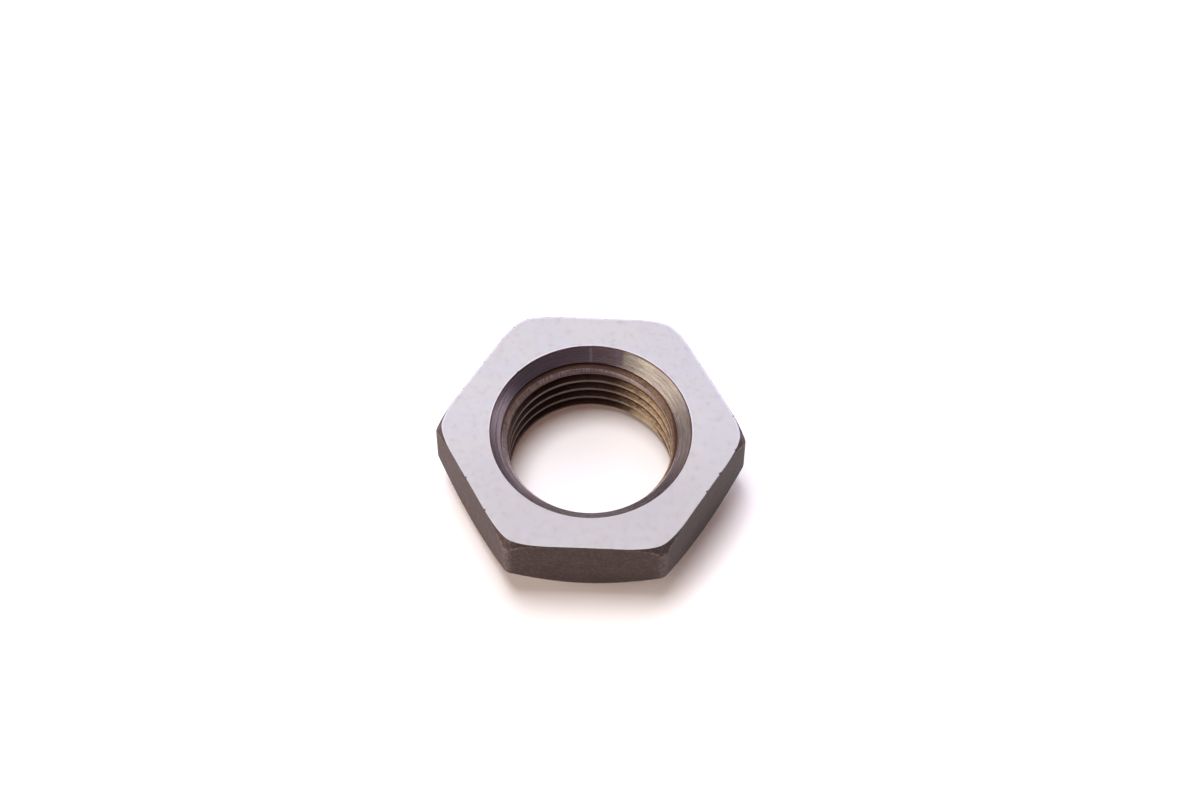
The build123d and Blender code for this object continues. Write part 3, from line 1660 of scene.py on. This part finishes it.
@dataclass
class ThreadCutter:
    """Cuts the thread in the blank's bore by its rule, and gives each surface its finish.

    Attributes:
        shape: The sizes of the nut.
        finishes: The material of each zone.
        weld: Points nearer than this are joined, in millimetres.
    """

    shape: NutShape
    finishes: dict[Zone, bpy.types.Material]
    weld: float = 0.001

    def sizes(self) -> dict[str, float]:
        """Lists the sizes that the tree takes.

        Returns:
            The names of its inputs and their values, in millimetres.
        """
        thread = self.shape.thread
        return {
            "Start Height": thread.start,
            "Pitch": thread.pitch,
            "Minor Radius": thread.minor_radius,
            "Major Radius": thread.major_radius,
            "Half Groove": thread.half_groove,
            "Flank Rise": thread.flank_rise,
            "Sink Offset": self.shape.sink_offset,
            "Base Mouth Radius": self.shape.base_mouth,
            "Bevel Foot": self.shape.bevel_foot,
            "Bevel Top": self.shape.bevel_top,
            "Bevel Steepness": math.tan(self.shape.bevel_slope),
            "Weld Distance": self.weld,
        }

    def cut(self, blank: bpy.types.Object) -> bpy.types.Object:
        """Cuts the thread and turns the result into a plain mesh.

        Args:
            blank: The blank.

        Returns:
            The same object, with the finished mesh and no modifier.
        """
        for material in self.finishes.values():
            blank.data.materials.append(material)
        tree = ThreadGraph(self.sizes())
        tree.node("NodeGroupOutput", {"Geometry": tree.dress_all(tree.join(tree.cut()), self.finishes)})
        modifier = blank.modifiers.new("thread", "NODES")
        modifier.node_group = tree.tree
        for name, value in self.sizes().items():
            modifier[tree.identifiers[name]] = value
        state = bpy.context.evaluated_depsgraph_get()
        mesh = bpy.data.meshes.new_from_object(
            blank.evaluated_get(state), preserve_all_data_layers=True, depsgraph=state
        )
        blank.modifiers.remove(modifier)
        blank.data = mesh
        return blank


@dataclass
class LockNut:
    """The whole nut: its shape, its finishes and the mesh made from them.

    Attributes:
        shape: The sizes of the nut.
        smooth_limit: Edges that turn less than this are shaded smooth, in radians.
        knocks: The knocks in the front edges of the ground face, and the chips in its back edges.
    """

    shape: NutShape
    smooth_limit: float = math.radians(12)
    knocks: tuple[Knock, ...] = (
        Knock(206.6, 0.06, 0.22),
        Knock(224.0, 0.06, 0.24),
        Knock(330.6, 0.07, 0.28),
        Knock(340.9, 0.05, 0.30),
        Knock(353.4, 0.04, 0.18),
        Knock(37.6, 0.05, 0.22),
        Knock(9.0, 0.03, 0.20),
        Knock(85.8, 0.03, 0.22),
        Knock(99.4, 0.03, 0.22),
        Knock(105.0, 0.05, 0.24),
        Knock(110.4, 0.04, 0.20),
        Knock(118.2, 0.03, 0.18),
        Knock(124.8, 0.04, 0.18),
        Knock(132.1, 0.06, 0.28),
        Knock(135.0, 0.05, 0.24),
        Knock(141.2, 0.04, 0.18),
        Knock(145.5, 0.04, 0.20),
        Knock(152.0, 0.03, 0.18),
        Knock(161.2, 0.03, 0.18),
    )

    def finishes(self) -> dict[Zone, bpy.types.Material]:
        """Makes the material of each zone.

        Returns:
            The materials, in the order of their slots.
        """
        finishes = {
            Zone.GROUND_FACE: GroundSteel("ground_steel"),
            Zone.COUNTERSINK: TurnedSteel("turned_steel"),
            Zone.BEVEL: BevelSteel("bevel_steel"),
            Zone.THREAD_FLANK: ThreadSteel("thread_flank"),
            Zone.THREAD_CREST: ThreadSteel("thread_crest", crest=display(96, 78, 69)),
            Zone.FLAT: BlackOxide("black_flat"),
            Zone.TURNED_CORNER: BlackOxide(
                "black_corner", coat=display(56, 38, 33), faded=display(74, 54, 48)
            ),
            Zone.BASE: BlackOxide("black_base"),
        }
        return {zone: finish.make() for zone, finish in finishes.items()}

    def build(self) -> bpy.types.Object:
        """Builds the finished nut.

        Returns:
            The nut's object, at the origin.
        """
        blank = NutBlank(self.shape, self.knocks).build("steel_nut")
        nut = ThreadCutter(self.shape, self.finishes()).cut(blank)
        self.tidy(nut.data)
        return nut

    def tidy(self, mesh: bpy.types.Mesh) -> None:
        """Drops faces that welding left without area, turns the rest outwards, shades them and reports.

        Args:
            mesh: The nut's mesh.
        """
        mesh.validate()
        work = bmesh.new()
        work.from_mesh(mesh)
        bmesh.ops.recalc_face_normals(work, faces=work.faces)
        open_edges = sum(1 for edge in work.edges if not edge.is_manifold)
        triangles = sum(len(face.verts) - 2 for face in work.faces)
        volume = work.calc_volume(signed=True)
        work.to_mesh(mesh)
        work.free()
        mesh.shade_smooth()
        mesh.set_sharp_from_angle(angle=self.smooth_limit)
        log.info("nut: %d triangles, %d open edges, %.1f mm3", triangles, open_edges, volume / MM**3)


@dataclass(frozen=True)
class SoftLight:
    """A broad, soft light far from the nut.

    Attributes:
        name: Its name.
        azimuth: The direction it comes from, in degrees from +X.
        elevation: How high it stands, in degrees.
        spread: How wide it looks from the nut, in degrees.
        strength: Its strength.
        colour: Its colour.
    """

    name: str
    azimuth: float
    elevation: float
    spread: float
    strength: float
    colour: tuple[float, float, float]

    def hang(self) -> None:
        """Puts the light in the scene."""
        lamp = bpy.data.lights.new(self.name, "SUN")
        lamp.energy = self.strength
        lamp.angle = math.radians(self.spread)
        lamp.color = self.colour
        made = put_in_scene(self.name, lamp)
        source = towards(self.azimuth, self.elevation)
        made.rotation_euler = source.to_track_quat("Z", "Y").to_euler()
        made.location = source


@dataclass(frozen=True)
class Viewpoint:
    """The camera's place and lens, in millimetres and degrees.

    Attributes:
        target: The point at the middle of the picture.
        distance: From the camera to the target.
        azimuth: How far the camera has moved round towards +X from the -Y side.
        elevation: How far the camera looks down.
        roll: How far the camera leans.
        lens: The focal length on the sensor.
        sensor: The width of the sensor.
        sight: The distances that the camera sees between, in metres.
    """

    target: tuple[float, float, float] = (0.645, 8.022, 2.037)
    distance: float = 285.77
    azimuth: float = 1.7073
    elevation: float = 57.4715
    roll: float = 0.6203
    lens: float = 83.178
    sensor: float = 36.0
    sight: Band = (0.01, 100.0)

    def aim(self) -> bpy.types.Object:
        """Makes the camera and points it.

        Returns:
            The camera.
        """
        back = towards(self.azimuth - 90, self.elevation)
        lean = math.radians(self.roll)
        right = (-back).cross(Vector((0, 0, 1))).normalized()
        up = right.cross(-back)
        leaned_right = right * math.cos(lean) + up * math.sin(lean)
        leaned_up = up * math.cos(lean) - right * math.sin(lean)
        place = (Vector(self.target) + back * self.distance) * MM
        data = bpy.data.cameras.new("camera")
        data.lens = self.lens
        data.sensor_width = self.sensor
        data.sensor_fit = "HORIZONTAL"
        data.clip_start, data.clip_end = self.sight
        camera = put_in_scene("camera", data)
        turned = Matrix((leaned_right, leaned_up, back)).transposed().to_4x4()
        camera.matrix_world = Matrix.Translation(place) @ turned
        return camera


@dataclass
class Studio:
    """A plain pale floor under soft light.

    Attributes:
        floor_size: The length of the floor's sides, in metres.
        floor_drop: How far the floor lies under the nut, in millimetres.
        floor_tone: How much light the floor gives back.
        floor_lift: The light that the floor adds in a picture, warmer than the lamps, to look white.
        sky: The strength of the light from all round.
        sky_colour: Its colour.
        lights: The soft lights.
        view: The camera's place.
    """

    floor_size: float = 12.0
    floor_drop: float = 0.005
    floor_tone: float = 0.96
    floor_lift: Colour = (0.13, 0.076, 0.06, 1.0)
    sky: float = 0.03
    sky_colour: Colour = (1.0, 0.85, 0.82, 1.0)
    lights: tuple[SoftLight, ...] = (
        SoftLight("key_light", 132.0, 77.5, 28.0, 2.4, (0.98, 0.96, 0.98)),
        SoftLight("high_light", 86.0, 48.0, 44.0, 0.9, (0.82, 0.79, 1.0)),
        SoftLight("back_light", 90.0, 24.0, 66.0, 1.7, (0.88, 0.85, 1.0)),
        SoftLight("left_light", 203.0, 15.0, 56.0, 3.1, (1.0, 0.89, 0.8)),
        SoftLight("right_light", 25.0, 16.0, 50.0, 0.42, (0.93, 0.91, 1.0)),
        SoftLight("front_light", 275.0, 30.0, 70.0, 0.08, (1.0, 0.8, 0.75)),
    )
    view: Viewpoint = Viewpoint()

    def lay_floor(self) -> bpy.types.Object:
        """Lays the floor just under the nut.

        Returns:
            The floor.
        """
        half = self.floor_size / 2
        drop = -self.floor_drop * MM
        mesh = bpy.data.meshes.new("floor")
        sheet = [(-half, -half, drop), (half, -half, drop), (half, half, drop), (-half, half, drop)]
        mesh.from_pydata(sheet, [], [(0, 1, 2, 3)])
        material = bpy.data.materials.new("floor")
        material.use_nodes = True
        graph = Graph(material.node_tree)
        tone = (self.floor_tone, self.floor_tone, self.floor_tone, 1.0)
        matt = graph.node("ShaderNodeBsdfDiffuse", {"Color": tone})
        rays = graph.node("ShaderNodeLightPath")
        seen = graph.out(rays, "Is Camera Ray").above(graph.out(rays, "Is Glossy Ray"))
        seen = seen.above(graph.out(rays, "Is Transmission Ray"))
        lift = graph.node("ShaderNodeEmission", {"Color": self.floor_lift, "Strength": seen})
        both = graph.node("ShaderNodeAddShader", {0: matt.outputs[0], 1: lift.outputs[0]})
        graph.node("ShaderNodeOutputMaterial", {"Surface": both.outputs[0]})
        mesh.materials.append(material)
        return put_in_scene("floor", mesh)

    def light(self) -> None:
        """Lights the scene."""
        world = bpy.data.worlds.new("studio")
        world.use_nodes = True
        graph = Graph(world.node_tree)
        sky = graph.node("ShaderNodeBackground", {"Color": self.sky_colour, "Strength": self.sky})
        graph.node("ShaderNodeOutputWorld", {"Surface": sky.outputs[0]})
        bpy.context.scene.world = world
        for light in self.lights:
            light.hang()

    def build(self) -> bpy.types.Object:
        """Sets the whole studio up.

        Returns:
            The floor.
        """
        floor = self.lay_floor()
        self.light()
        scene = bpy.context.scene
        scene.camera = self.view.aim()
        scene.view_settings.view_transform = "Standard"
        log.info("studio: %d soft lights", len(self.lights))
        return floor


def shape_from_frame() -> NutShape:
    """Reads the nut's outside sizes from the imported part.

    Returns:
        The shape.
    """
    low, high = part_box(CAD_NODE)
    return NutShape(HexagonBar((high.y - low.y) / MM), Thread(), (high.z - low.z) / MM)


def main() -> None:
    """Builds the nut and the studio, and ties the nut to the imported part."""
    logging.basicConfig(level=logging.INFO, format="%(name)s %(message)s")
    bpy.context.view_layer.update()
    nut = LockNut(shape_from_frame()).build()
    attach(nut, "root")
    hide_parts(CAD_NODE)
    Studio().build()


if __name__ == "__main__":
    main()
